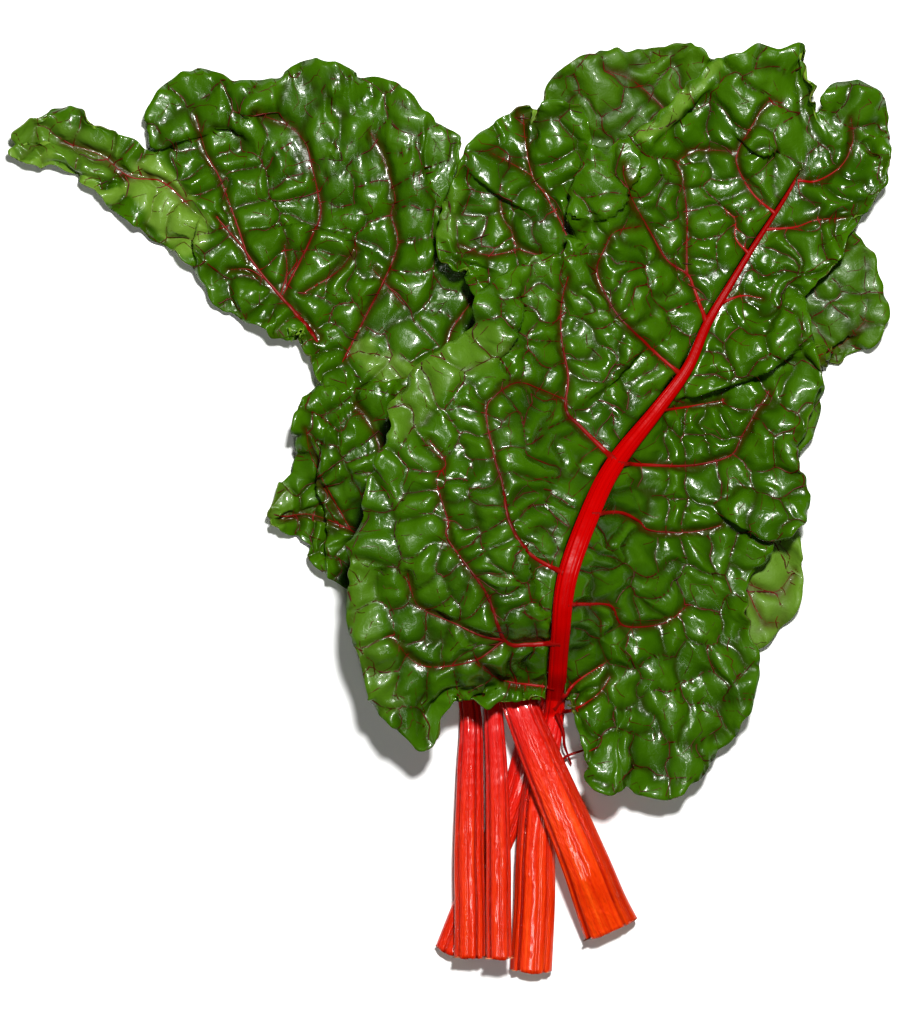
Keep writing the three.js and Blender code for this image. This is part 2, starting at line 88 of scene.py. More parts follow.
# Grooves along the top of each stalk: place across it from -0.5 to 0.5, depth and width as parts of its own
GROOVES = {
    "front": [(-0.3, 0.24, 0.03), (0.1, 0.04, 0.03), (0.3, 0.09, 0.03), (-0.45, 0.1, 0.05)],
    "upper_left": [(-0.42, 0.16, 0.025), (0.25, 0.16, 0.02), (0.4, 0.1, 0.1), (-0.05, 0.02, 0.05)],
    "middle_left": [(-0.36, 0.14, 0.03), (-0.08, 0.04, 0.03), (0.2, 0.2, 0.035), (0.42, 0.14, 0.03)],
    "upper_middle": [(-0.34, 0.2, 0.035), (0.08, 0.05, 0.03), (0.36, 0.14, 0.03)],
    "back": [(-0.2, 0.1, 0.05), (0.24, 0.1, 0.05)],
}
# How far each stalk turns orange at its cut end
CUT_TINT = {"front": 0.8, "upper_left": 1.0, "middle_left": 0.6, "upper_middle": 0.55, "back": 0.4}
# Leaves from the lowest to the top one
LEAVES = ["back", "upper_left", "middle_left", "upper_middle", "front"]
NECK_Y = {"front": -87, "upper_left": -42, "middle_left": -65, "upper_middle": -42, "back": -40}

# Main side veins of each leaf in millimetres, each with its width where it starts
SIDE_VEINS = {
    "front": [
        (4.0, [
            (48, -60), (34, -61), (23, -59), (15, -38), (-2, -14), (-2, -6), (-7, 12), (-3, 20), (-10, 30),
        ]),
        (2.2, [(23, -59), (13, -57), (0, -51), (-12, -46), (-17, -41), (-20, -29)]),
        (2.0, [(23, -59), (10, -68), (-8, -71), (-18, -68), (-27, -57)]),
        (2.6, [(46, -81), (25, -78), (18, -75), (10, -69)]),
        (3.6, [
            (51, -30), (34, -20), (25, -6), (22, 11), (19, 21), (15, 42), (19, 50), (29, 56), (40, 53),
            (52, 48),
        ]),
        (4.2, [(73, 21), (58, 36), (51, 44), (52, 59), (49, 76), (49, 92), (52, 104)]),
        (3.2, [(103, 60), (85, 76), (74, 87), (67, 100), (65, 108), (68, 116), (73, 124), (85, 127)]),
        (3.2, [(115, 83), (109, 100), (106, 106), (97, 112), (89, 125), (81, 139), (77, 149), (77, 154)]),
        (1.8, [
            (106, 106), (106, 119), (106, 133), (104, 149), (102, 156), (109, 161), (115, 162), (129, 161),
        ]),
        (2.0, [(134, 115), (128, 122), (128, 130), (124, 134)]),
        (2.2, [(146, 133), (136, 142), (129, 154), (129, 161), (136, 174), (142, 183), (149, 183)]),
        (4.2, [(46, -90), (55, -79), (68, -70)]),
        (2.4, [(47, -93), (58, -89), (67, -82), (71, -76)]),
        (3.0, [(50, -43), (60, -43), (71, -44), (77, -53), (95, -52), (106, -44)]),
        (3.2, [(62, -3), (75, -2), (84, -6), (89, -10), (106, -11), (121, -8)]),
        (3.4, [(74, 20), (99, 19), (113, 20), (126, 24), (131, 33), (143, 53)]),
        (2.6, [(92, 44), (102, 45), (123, 49)]),
        (2.4, [(122, 93), (131, 96), (140, 95)]),
        (2.2, [(142, 126), (155, 127), (164, 130), (177, 131)]),
        (1.8, [(156, 148), (165, 148), (176, 155), (181, 166), (180, 176)]),
    ],
    "upper_left": [
        (2.4, [(-77, 96), (-61, 129), (-61, 142), (-64, 156), (-67, 166), (-76, 174), (-90, 179)]),
        (2.2, [(-50, 66), (-26, 115), (-28, 133), (-26, 141), (-32, 160), (-37, 170)]),
        (4.6, [(-61, 75), (-67, 83), (-78, 96), (-88, 108), (-95, 118), (-101, 125), (-107, 132)]),
        (2.2, [(-78, 96), (-75, 107), (-76, 119)]),
        (2.2, [(-84, 103), (-92, 108), (-101, 108)]),
        (2.0, [(-68, 97), (-51, 108), (-44, 118)]),
        (1.8, [(-22, 92), (-28, 99), (-36, 108)]),
        (2.0, [(-3, 72), (1, 83), (13, 99)]),
        (2.2, [(-92, 112), (-104, 146), (-112, 162), (-116, 178)]),
        (1.8, [(-120, 138), (-132, 148), (-146, 150), (-160, 160), (-176, 166)]),
    ],
    "middle_left": [
        (2.4, [(2, -65), (-10, -42), (-25, -24), (-46, -10), (-64, -3), (-76, -4)]),
        (1.6, [(-25, -24), (-30, 6), (-34, 30), (-44, 46)]),
        (1.6, [(-46, -10), (-56, 8), (-64, 24), (-66, 36)]),
        (1.4, [(-10, -42), (-14, -6), (-18, 24), (-24, 44)]),
    ],
    "upper_middle": [
        (2.2, [(46, 84), (54, 112), (50, 126), (42, 141), (36, 150), (33, 165), (32, 178)]),
        (1.8, [(49, 100), (43, 112), (30, 117), (27, 124), (23, 131), (22, 138)]),
        (1.6, [(30, 117), (16, 114), (4, 119)]),
        (1.4, [(36, 150), (26, 156), (18, 160)]),
    ],
    "back": [
        (2.0, [(112, 120), (119, 165), (119, 200)]),
        (2.0, [(119, 150), (100, 176), (84, 192), (70, 198)]),
        (2.0, [(140, 84), (156, 100), (167, 108), (177, 120)]),
        (1.8, [(140, 60), (158, 66), (176, 74), (186, 84)]),
        (1.8, [(110, -30), (132, -34), (146, -38), (154, -30)]),
        (1.4, [(132, -34), (140, -50), (148, -52)]),
    ],
}
# Thin torn shoots that hang from a leaf's neck, in millimetres: width, and x, y and height along it
TWIGS = {
    "front": [
        (1.9, [(47, -93, 13), (49.9, -100.9, 11), (50.6, -107.2, 8), (52, -111.3, 5), (53.8, -116.2, 2)]),
        (1.5, [(49.7, -114.4, 4), (52, -112.2, 5.5), (56.9, -110.4, 6), (62, -108.5, 8)]),
    ],
}

# Folds where one lobe of a blade laps over the next, in millimetres: rise, reach of the rise and the line of
# the lip. The lobe on top is on the left of the line.
FOLDS = {
    "front": [
        (4.5, 14, [(43.4, -56), (38.5, -44), (33, -24), (25.4, -5.5), (21.8, 10)]),
        (6.0, 18, [(105, 50), (111.8, 51.6), (133, 58.4), (148.7, 66.9), (161.8, 77.7)]),
        (4.0, 12, [(122, -4), (129.4, -6.4), (141, -13), (154.6, -11.4)]),
        (3.5, 12, [(59, 47.6), (72, 58), (84.8, 70.5)]),
        (4.0, 12, [(80, -92), (76, -104), (77, -118)]),
        (3.0, 10, [(62, 128), (72, 133), (80, 146), (84, 160)]),
        (3.5, 12, [(12, 62), (24, 70), (30, 84), (30, 100)]),
        (3.0, 10, [(128, 168), (140, 160), (150, 164)]),
        (3.5, 8, [(88, 160), (92, 166), (107, 180), (121, 192)]),
    ],
    "upper_left": [
        (5.0, 14, [
            (-135.7, 167.3), (-128.9, 164.6), (-119.9, 168.2), (-110.9, 170.9), (-101.9, 172.7), (-94, 168),
        ]),
        (6.0, 16, [(-25, 104.3), (-43.9, 119.1), (-61.4, 125.9), (-76.3, 126.8), (-92.5, 125.9)]),
        (4.0, 10, [(-114.5, 130), (-115.5, 120), (-114.5, 111), (-110, 101)]),
        (3.5, 8, [(-192, 163), (-176, 157), (-160, 151), (-148, 148)]),
        (4.0, 12, [(-60, 180), (-52, 188), (-44, 194)]),
        (3.5, 12, [(-8, 140), (-14, 156), (-12, 170)]),
        (4.0, 12, [(-96, 176), (-84, 180), (-72, 178)]),
    ],
    "middle_left": [
        (4.0, 10, [(-39, 52), (-52, 38), (-57, 31), (-60, 16), (-60, 8), (-57, 0), (-56, -8), (-56, -30)]),
    ],
    "upper_middle": [
        (4.0, 12, [(-6, 122), (6, 112), (18, 106)]),
        (3.5, 12, [(8, 152), (20, 142), (34, 134)]),
    ],
    "back": [(3.0, 10, [(164, 60), (172, 74), (186, 80)])],
}
# Paler places, where the matt under side of a blade turns up: strength, width and line in millimetres
PALE = {
    "front": [
        (0.55, 5.5, [(86, 167), (103, 182), (120, 198)]),
        (0.3, 26, [(-25.4, 39), (-5.2, 63.8), (15.1, 72.8)]),
        (0.2, 20, [(-42, -30), (-40, -55), (-30, -85)]),
    ],
    "upper_left": [
        (0.75, 26, [(-137, 148), (-128, 136), (-120, 125)]),
        (0.7, 9, [(-197, 160), (-176, 153.5), (-152, 142)]),
        (0.3, 24, [(-190, 168), (-160, 158)]),
        (0.5, 16, [(-40, 70), (-30, 64), (-22, 60)]),
    ],
    "middle_left": [(0.3, 14, [(-80, 8), (-82, -4)])],
    "upper_middle": [(0.2, 14, [(-4, 124), (0, 140)])],
    "back": [(0.5, 40, [(152, -18), (146, -36), (138, -52)])],
}

# Size of the blisters, in millimetres: least distance of their middles, and their height
BLISTER_SPACING = {"front": 13, "upper_left": 14, "middle_left": 12, "upper_middle": 13.5, "back": 15}
BLISTER_HEIGHT = {"front": 3.3, "upper_left": 3.6, "middle_left": 3.0, "upper_middle": 3.3, "back": 2.6}
FINE_SPACING = 6.5
FINE_HEIGHT = 1.0
# Rows of blisters along the veins, as parts of that distance: from one to the next, and from the vein
ROW_PITCH = 0.72
ROW_OFFSET = 0.55
MARGIN_REACH = 1.5  # how far the crinkled margin goes beyond the solid blade's
# Waves in the skins, in millimetres: height and length of each
STALK_WAVES = [(0.22, 24), (0.09, 9), (0.05, 4)]
BLADE_WAVES = [(1.2, 45)]
MARGIN_WAVES = [(1.7, 27), (0.9, 11)]
WRINKLES = [(0.2, 6.5), (0.09, 3.6)]
# Drops of water in the groove of the front stalk, in millimetres: x, y and width
BEADS = [
    (33.4, -126.4, 1.5), (33.4, -131.3, 1.8), (34.0, -133.1, 1.4), (33.3, -140.2, 2.0), (33.2, -143.8, 1.6),
    (32.8, -146.9, 1.3), (33.4, -136.5, 1.0), (33.5, -128.9, 1.0),
]
# Places where the margin runs out to a point or draws in, in millimetres: place, reach and shift
MARGIN_SHIFTS = {
    "front": [
        ((159, 206), 6, (2.5, 4.5)), ((167, 190), 8, (-6, 0)), ((148, 206), 7, (0, -4)),
        ((2, -97), 9, (-4, 9)), ((-14, -101), 7, (0, -5)),
    ],
    "upper_left": [((-197, 166), 12, (-2.5, -1.5)), ((-57, 66), 11, (3, 3))],
    "middle_left": [((-84, 2), 11, (4.5, -1.5)), ((-68, 17), 10, (3, 0))],
}


def smooth_line(points, step):
    """Points about one step apart on a smooth curve through some points of any number of coordinates."""
    given = np.array(points, float)
    ends = np.vstack([2 * given[0] - given[1], given, 2 * given[-1] - given[-2]])
    line = []
    for a, b, c, d in zip(ends[:-3], ends[1:-2], ends[2:-1], ends[3:]):
        count = max(1, round(np.linalg.norm((c - b)[:2]) / step))
        for t in np.arange(count) / count:
            bend = (2 * a - 5 * b + 4 * c - d) * t**2 + (3 * b - a - 3 * c + d) * t**3
            line.append(0.5 * (2 * b + (c - a) * t + bend))
    line.append(given[-1])
    return np.array(line)


def midrib_line(name):
    """Points 2 mm apart along a leaf's stalk and midrib in plan."""
    return smooth_line(STALKS[name], 2)[:, :2] * MM


def directions(line):
    """The way ahead at each point of a line."""
    ahead = np.gradient(line, axis=0)
    return ahead / np.linalg.norm(ahead, axis=1)[:, None]


def run_along(line):
    """How far along a line each of its points is."""
    return np.concatenate([[0], np.cumsum(np.linalg.norm(np.diff(line, axis=0), axis=1))])


def smooth_step(value, low, high):
    """A soft rise from 0 at the low value to 1 at the high one."""
    t = np.clip((value - low) / (high - low), 0, 1)
    return t * t * (3 - 2 * t)


def dome(distance, reach):
    """A round rise from 0 at no distance to 1 at the reach and beyond."""
    t = np.clip(distance / reach, 0, 1)
    return t * (2 - t)


def nearest_point(places, points):
    """The number of the nearest of some points to each place, both in plan."""
    return np.concatenate([
        ((part[:, None, :] - points[None, :, :]) ** 2).sum(2).argmin(1)
        for part in np.array_split(places, max(1, len(places) // CHUNK))
    ])


def distance_to_points(places, points):
    return np.linalg.norm(places - points[nearest_point(places, points)], axis=1)


def ripple(places, length, seed):
    """A smooth field between about -1 and 1 with waves of about one length, from a seed."""
    dice = np.random.default_rng(seed)
    total = np.zeros(len(places))
    for _ in range(7):
        turn = dice.uniform(0, 2 * math.pi)
        pitch = 2 * math.pi / (length * dice.uniform(0.7, 1.5))
        along = places @ np.array([math.cos(turn), math.sin(turn)])
        total += np.sin(pitch * along + dice.uniform(0, 2 * math.pi))
    return total / 3.2


def waves(places, sizes, seed):
    """The sum of ripples of some heights and lengths in millimetres."""
    total = np.zeros(len(places))
    for number, (height, length) in enumerate(sizes):
        total += height * MM * ripple(places, length * MM, seed + number)
    return total


def warp(places, seed):
    """Places in plan, shifted a little so that the blisters get uneven outlines."""
    shift = np.stack([ripple(places, 26 * MM, seed), ripple(places, 26 * MM, seed + 1)], 1)
    shift += 0.35 * np.stack([ripple(places, 11 * MM, seed + 2), ripple(places, 11 * MM, seed + 3)], 1)
    return places + 2.8 * MM * shift


def unwarp(places, seed):
    """The places that the warp brings to these."""
    found = places.copy()
    for _ in range(4):
        found = places - (warp(found, seed) - found)
    return found


def scatter(low, high, spacing, keep_out, clear, seed):
    """Seeded points in a rectangle, at least a spacing apart and clear of some points to keep out of."""
    dice = random.Random(seed)
    cells = {}
    size = spacing / math.sqrt(2)
    points = []
    tries = int(14 * (high[0] - low[0]) * (high[1] - low[1]) / spacing**2)
    for _ in range(tries):
        x, y = dice.uniform(low[0], high[0]), dice.uniform(low[1], high[1])
        i, j = int(x // size), int(y // size)
        near = [cells.get((i + a, j + b)) for a in range(-2, 3) for b in range(-2, 3)]
        if all(other is None or math.dist(other, (x, y)) >= spacing for other in near):
            cells[i, j] = (x, y)
            points.append((x, y))
    points = np.array(points)
    return points[distance_to_points(points, keep_out) > clear]


def vein_seeds(veins, main, pitch, offset, seed):
    """Middles of blisters in rows along both sides of each vein, so that finer veins leave it squarely."""
    dice = np.random.default_rng(seed)
    found = np.empty((0, 2))
    for line in veins:
        ahead = directions(line)
        left = np.stack([-ahead[:, 1], ahead[:, 0]], 1)
        run = run_along(line)
        for side in (-offset, offset):
            at = pitch * dice.uniform(0.3, 1)
            while at < run[-1]:
                number = np.searchsorted(run, at)
                point = line[number] + left[number] * side * dice.uniform(0.85, 1.2)
                at += pitch * dice.uniform(0.75, 1.3)
                clear = np.linalg.norm(main - point, axis=1).min() > 0.7 * offset
                if clear and (len(found) == 0 or np.linalg.norm(found - point, axis=1).min() > 0.75 * pitch):
                    found = np.vstack([found, point])
    return found


def cell_edges(points):
    """The lines between the cells round a set of points, as pairs of ends."""
    _, _, triangles, *_ = geometry.delaunay_2d_cdt([Vector(p) for p in points], [], [], 0, 1e-9)
    centres = {}
    sides = {}
    for number, (a, b, c) in enumerate(triangles):
        pa, pb, pc = points[a], points[b], points[c]
        grid = 2 * np.array([pb - pa, pc - pa])
        if abs(np.linalg.det(grid)) < 1e-12:
            continue
        centres[number] = np.linalg.solve(grid, [pb @ pb - pa @ pa, pc @ pc - pa @ pa])
        for pair in ((a, b), (b, c), (c, a)):
            sides.setdefault(tuple(sorted(pair)), []).append(number)
    return [
        (centres[both[0]], centres[both[1]])
        for both in sides.values()
        if len(both) == 2 and np.linalg.norm(centres[both[0]] - centres[both[1]]) < 30 * MM
    ]


def linked(name, data):
    """A new object in the scene."""
    made = bpy.data.objects.new(name, data)
    bpy.context.scene.collection.objects.link(made)
    return made


def smooth_object(name, mesh, materials):
    for material in materials:
        mesh.materials.append(material)
    mesh.polygons.foreach_set("use_smooth", [True] * len(mesh.polygons))
    return linked(name, mesh)


def mesh_object(name, bm, materials):
    mesh = bpy.data.meshes.new(name)
    bm.to_mesh(mesh)
    bm.free()
    return smooth_object(name, mesh, materials)


def finished_mesh(piece):
    """The mesh of a piece with its modifiers applied."""
    seen = piece.evaluated_get(bpy.context.evaluated_depsgraph_get())
    return bpy.data.meshes.new_from_object(seen)


def coordinates(mesh):
    found = np.empty(3 * len(mesh.vertices))
    mesh.vertices.foreach_get("co", found)
    return found.reshape(-1, 3)


def set_attribute(mesh, name, values):
    made = mesh.attributes.new(name, "FLOAT", "POINT")
    made.data.foreach_set("value", np.ascontiguousarray(values, dtype=np.float32))


def surface_of(piece):
    """The surface of a piece, for finding what lies above or below a place."""
    bm = bmesh.new()
    bm.from_mesh(piece.data)
    tree = BVHTree.FromBMesh(bm)
    bm.free()
    return tree


# Materials


def node_group(name, inputs, outputs):
    group = bpy.data.node_groups.new(name, "ShaderNodeTree")
    for label, kind, value in inputs:
        group.interface.new_socket(label, in_out="INPUT", socket_type=kind).default_value = value
    for label, kind in outputs:
        group.interface.new_socket(label, in_out="OUTPUT", socket_type=kind)
    return group, group.nodes.new("NodeGroupInput"), group.nodes.new("NodeGroupOutput")


def fill(tree, socket, value):
    """Links a socket to another one, or gives it a value."""
    if isinstance(value, bpy.types.NodeSocket):
        tree.links.new(value, socket)
    else:
        socket.default_value = value


def add(tree, kind, settings=None, **sockets):
    """A node with its settings, and with values or links for the sockets that are named."""
    node = tree.nodes.new(kind)
    for key, value in (settings or {}).items():
        setattr(node, key, value)
    for key, value in sockets.items():
        fill(tree, node.inputs[key.replace("_", " ")], value)
    return node


def attribute(tree, name, output="Fac"):
    return add(tree, "ShaderNodeAttribute", {"attribute_name": name}).outputs[output]


def noise(tree, place, scale, detail, rough=0.5, twist=0.0):
    node = add(tree, "ShaderNodeTexNoise", Vector=place, Scale=scale, Detail=detail)
    node.inputs["Roughness"].default_value, node.inputs["Distortion"].default_value = rough, twist
    return node.outputs["Fac"]


def stretch(tree, value, source, target=(0.0, 1.0)):
    """A value carried from one range to another and held within it."""
    node = add(tree, "ShaderNodeMapRange", Value=value, From_Min=source[0], From_Max=source[1])
    node.inputs["To Min"].default_value, node.inputs["To Max"].default_value = target
    return node.outputs["Result"]


def combine(tree, operation, *values):
    node = add(tree, "ShaderNodeMath", {"operation": operation})
    for socket, value in zip(node.inputs, values):
        fill(tree, socket, value)
    return node.outputs["Value"]


def bumped(tree, height, strength, depth, under=None):
    """The normal of a bump of a depth in millimetres, on top of another one."""
    node = add(tree, "ShaderNodeBump", Height=height, Strength=strength, Distance=depth * MM)
    if under is not None:
        tree.links.new(under, node.inputs["Normal"])
    return node.outputs["Normal"]


def ramp(tree, factor, stops):
    node = add(tree, "ShaderNodeValToRGB", Fac=factor)
    elements = node.color_ramp.elements
    while len(elements) < len(stops):
        elements.new(0.5)
    for element, (place, colour) in zip(elements, stops):
        element.position = place
        element.color = (*colour, 1)
    return node.outputs["Color"]


def mix(tree, factor, first, second):
    node = add(tree, "ShaderNodeMix", {"data_type": "RGBA"}, Factor=factor)
    for label, colour in (("A", first), ("B", second)):
        fill(tree, node.inputs[label], (*colour, 1) if isinstance(colour, tuple) else colour)
    return node.outputs["Result"]


def new_material(name):
    material = bpy.data.materials.new(name)
    material.use_nodes = True
    tree = material.node_tree
    return material, tree, tree.nodes["Principled BSDF"]


def leaf_skin_group():
    """Colour patches, fine skin height and gloss breaks that both sides of a blade share."""
    group, given, out = node_group(
        "leaf_skin",
        [("Dark", "NodeSocketColor", (0, 0, 0, 1)), ("Light", "NodeSocketColor", (0, 0, 0, 1))],
        [
            ("Color", "NodeSocketColor"), ("Height", "NodeSocketFloat"), ("Creases", "NodeSocketFloat"),
            ("Wrinkles", "NodeSocketFloat"), ("Gloss", "NodeSocketFloat"),
        ],
    )
    place = add(group, "ShaderNodeTexCoord").outputs["Object"]
    patches = noise(group, place, 38.0, 4.0, 0.6)
    patchy = stretch(group, patches, (0.3, 0.7))
    pits = add(group, "ShaderNodeTexVoronoi", {"feature": "DISTANCE_TO_EDGE"}, Vector=place, Scale=330.0)
    pit_edges = stretch(group, pits.outputs["Distance"], (0.0, 0.12))
    shown = {
        "Color": mix(group, patchy, given.outputs["Dark"], given.outputs["Light"]),
        "Height": combine(group, "ADD", pit_edges, noise(group, place, 420.0, 3.0, 0.6)),
        "Creases": noise(group, place, 210.0, 3.0, 0.5, 0.6),
        "Wrinkles": noise(group, place, 640.0, 2.0, 0.5, 0.8),
        "Gloss": patches,
    }
    for label, socket in shown.items():
        group.links.new(socket, out.inputs[label])
    return group


def leaf_material(name, dark, light, rough, vein_halo_and_shade, coat):
    material, tree, shader = new_material(name)
    look = add(tree, "ShaderNodeGroup", {"node_tree": SKIN}, Dark=(*dark, 1), Light=(*light, 1)).outputs
    crown = attribute(tree, "crown")
    pale = attribute(tree, "pale")
    # Painted shade: in the valleys between blisters, where crown is low, the colour darkens towards 0.4 of
    # the dark green.
    valley_shade = stretch(tree, crown, (0.0, 0.35), (0.8, 0.0))
    colour = mix(tree, valley_shade, look["Color"], tuple(0.4 * part for part in dark))
    # Painted light: on the blister tops, where crown is high, the colour turns to the light green.
    colour = mix(tree, crown, colour, light)
    colour = mix(tree, attribute(tree, "margin"), colour, tuple(1.35 * part for part in light))
    colour = mix(tree, pale, colour, (0.15, 0.26, 0.03))
    # Red-brown halo of the veins, partly painted shade that darkens the valleys between the blisters.
    colour = mix(tree, attribute(tree, "near_vein"), colour, vein_halo_and_shade)
    uneven = stretch(tree, look["Gloss"], (0.3, 0.7), (rough - 0.08, rough + 0.14))
    creases = bumped(tree, look["Creases"], 0.35, 1.0)
    wrinkles = bumped(tree, look["Wrinkles"], 0.14, 0.4, creases)
    tree.links.new(colour, shader.inputs["Base Color"])
    tree.links.new(combine(tree, "MULTIPLY_ADD", pale, 0.2, uneven), shader.inputs["Roughness"])
    tree.links.new(bumped(tree, look["Height"], 0.14, 0.22, wrinkles), shader.inputs["Normal"])
    shader.inputs["Coat Weight"].default_value = coat
    shader.inputs["Coat Roughness"].default_value = 0.07
    shader.inputs["Specular IOR Level"].default_value = 0.24
    return material


def stalk_material():
    """Wet red stalk skin: fine streaks along it, deep red at the blade, orange red at the cut end."""
    material, tree, shader = new_material("stalk_skin")
    grain = attribute(tree, "grain", "Vector")
    wetness = attribute(tree, "wetness")
    streaks = noise(tree, grain, 3.2, 3.0, 0.55)
    drawn_out = add(tree, "ShaderNodeVectorMath", {"operation": "MULTIPLY"})
    fill(tree, drawn_out.inputs[0], grain)
    fill(tree, drawn_out.inputs[1], (3.2, 0.5, 0.5))
    dashes = noise(tree, drawn_out.outputs["Vector"], 10.0, 2.0)
    reds = [(0.3, (0.45, 0.0, 0.0)), (0.52, (0.54, 0.002, 0.0)), (0.75, (0.62, 0.008, 0.002))]
    oranges = [(0.3, (0.6, 0.022, 0.0)), (0.52, (0.71, 0.05, 0.0)), (0.75, (0.81, 0.1, 0.006))]
    colour = mix(tree, attribute(tree, "near_cut"), ramp(tree, streaks, reds), ramp(tree, streaks, oranges))
    # Painted shade: the colour darkens to a near-black red down in the grooves.
    colour = mix(tree, attribute(tree, "groove"), colour, (0.2, 0.002, 0.001))
    uneven = stretch(tree, noise(tree, grain, 2.2, 2.0), (0.3, 0.7), (0.28, 0.44))
    dry = stretch(tree, wetness, (0.0, 1.0), (0.16, 0.0))
    ridges = combine(tree, "MULTIPLY", streaks, stretch(tree, wetness, (0.0, 1.0), (0.35, 1.0)))
    lines = bumped(tree, ridges, 0.2, 0.6)
    film = combine(tree, "MULTIPLY", dashes, wetness)
    tree.links.new(colour, shader.inputs["Base Color"])
    tree.links.new(combine(tree, "ADD", uneven, dry), shader.inputs["Roughness"])
    tree.links.new(stretch(tree, wetness, (0.0, 1.0), (0.02, 0.9)), shader.inputs["Coat Weight"])
    tree.links.new(bumped(tree, film, 0.6, 0.9, lines), shader.inputs["Normal"])
    shader.inputs["Specular IOR Level"].default_value = 0.13
    shader.inputs["Coat Roughness"].default_value = 0.13
    return material


def midrib_material():
    """The red midrib on a blade: smoother and duller than the stalk, darker towards the leaf's tip."""
    material, tree, shader = new_material("midrib_skin")
    place = add(tree, "ShaderNodeTexCoord").outputs["Object"]
    streaks = noise(tree, attribute(tree, "grain", "Vector"), 2.4, 3.0)
    reds = [(0.3, (0.31, 0.0, 0.0)), (0.55, (0.37, 0.0, 0.0)), (0.8, (0.43, 0.003, 0.001))]
    colour = mix(tree, attribute(tree, "near_tip"), ramp(tree, streaks, reds), (0.2, 0.001, 0.0))
    lines = bumped(tree, streaks, 0.25, 0.5)
    tree.links.new(colour, shader.inputs["Base Color"])
    tree.links.new(bumped(tree, noise(tree, place, 520.0, 2.0), 0.18, 0.4, lines), shader.inputs["Normal"])
    shader.inputs["Roughness"].default_value = 0.3
    shader.inputs["Specular IOR Level"].default_value = 0.05
    return material


def cut_material():
    """The moist cut face: pale orange flesh with darker strands and a redder skin."""
    material, tree, shader = new_material("stalk_cut_face")
    place = add(tree, "ShaderNodeTexCoord").outputs["Object"]
    strands = add(tree, "ShaderNodeTexVoronoi", Vector=place, Scale=420.0).outputs["Distance"]
    cloud = noise(tree, place, 160.0, 3.0)
    flesh = ramp(tree, cloud, [(0.35, (0.62, 0.17, 0.07)), (0.65, (0.85, 0.42, 0.22))])
    dots = stretch(tree, strands, (0.05, 0.35), (0.55, 0.0))
    tree.links.new(mix(tree, dots, flesh, (0.55, 0.08, 0.04)), shader.inputs["Base Color"])
    tree.links.new(bumped(tree, strands, 0.4, 0.4), shader.inputs["Normal"])
    shader.inputs["Roughness"].default_value = 0.35
    return material


def vein_material():
    """Red veins: the main ones brighter towards the midrib, the finer ones brown."""
    material, tree, shader = new_material("vein_skin")
    cloud = noise(tree, add(tree, "ShaderNodeTexCoord").outputs["Object"], 90.0, 4.0)
    thin = ramp(tree, cloud, [(0.35, (0.03, 0.014, 0.001)), (0.65, (0.08, 0.008, 0.002))])
    main = ramp(tree, cloud, [(0.35, (0.08, 0.004, 0.001)), (0.65, (0.15, 0.003, 0.001))])
    main = mix(tree, attribute(tree, "root"), main, (0.24, 0.002, 0.001))
    tree.links.new(mix(tree, attribute(tree, "strength"), thin, main), shader.inputs["Base Color"])
    tree.links.new(bumped(tree, cloud, 0.2, 0.3), shader.inputs["Normal"])
    shader.inputs["Roughness"].default_value = 0.45
    shader.inputs["Specular IOR Level"].default_value = 0.2
    return material


def water_material():
    material, _, shader = new_material("water")
    shader.inputs["Base Color"].default_value = (1, 1, 1, 1)
    shader.inputs["Roughness"].default_value = 0.02
    shader.inputs["IOR"].default_value = 1.33
    shader.inputs["Transmission Weight"].default_value = 1.0
    return material


SKIN = leaf_skin_group()
# Red-brown halo of the veins on the upper side, also used as painted shade in the valleys between blisters.
VEIN_HALO_AND_SHADE = (0.045, 0.018, 0.0)
LEAF_TOP = leaf_material("leaf_upper_side", (0.021, 0.07, 0.0), (0.045, 0.118, 0.0), 0.28, VEIN_HALO_AND_SHADE, 0.13)
LEAF_TOP_DULL = leaf_material(
    "back_leaf_upper_side", (0.026, 0.076, 0.0), (0.05, 0.12, 0.0), 0.42, VEIN_HALO_AND_SHADE, 0.03,
)
LEAF_UNDER = leaf_material(
    "leaf_under_side", (0.09, 0.17, 0.008), (0.14, 0.24, 0.02), 0.5, (0.12, 0.13, 0.02), 0.0,
)
LEAF_RIM = leaf_material("leaf_rim", (0.05, 0.04, 0.004), (0.07, 0.09, 0.006), 0.45, (0.06, 0.03, 0.006), 0.0)
STALK = stalk_material()
MIDRIB = midrib_material()
CUT = cut_material()
VEIN = vein_material()
WATER = water_material()


# Stalks


def cad_underside(name, places):
    """Height of the underside of a leaf's CAD stalk at places in plan, evened out along it."""
    surface = surface_of(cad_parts[f"{name}_stalk"])
    found = [surface.ray_cast(Vector((x, y, -1)), -DOWN)[0] for x, y in places]
    known = [number for number, hit in enumerate(found) if hit]
    height = np.interp(np.arange(len(found)), known, [found[number].z for number in known])
    return np.convolve(np.pad(height, 6, "edge"), np.ones(13) / 13, "valid")


def ragged(u, v, seed):
    """How far a cut end goes back at a place on its face."""
    return MM * (3.0 * u * u + 0.25 * math.sin(9 * u + seed) + 0.07 * math.sin(37 * u + seed) - 0.9 * v)


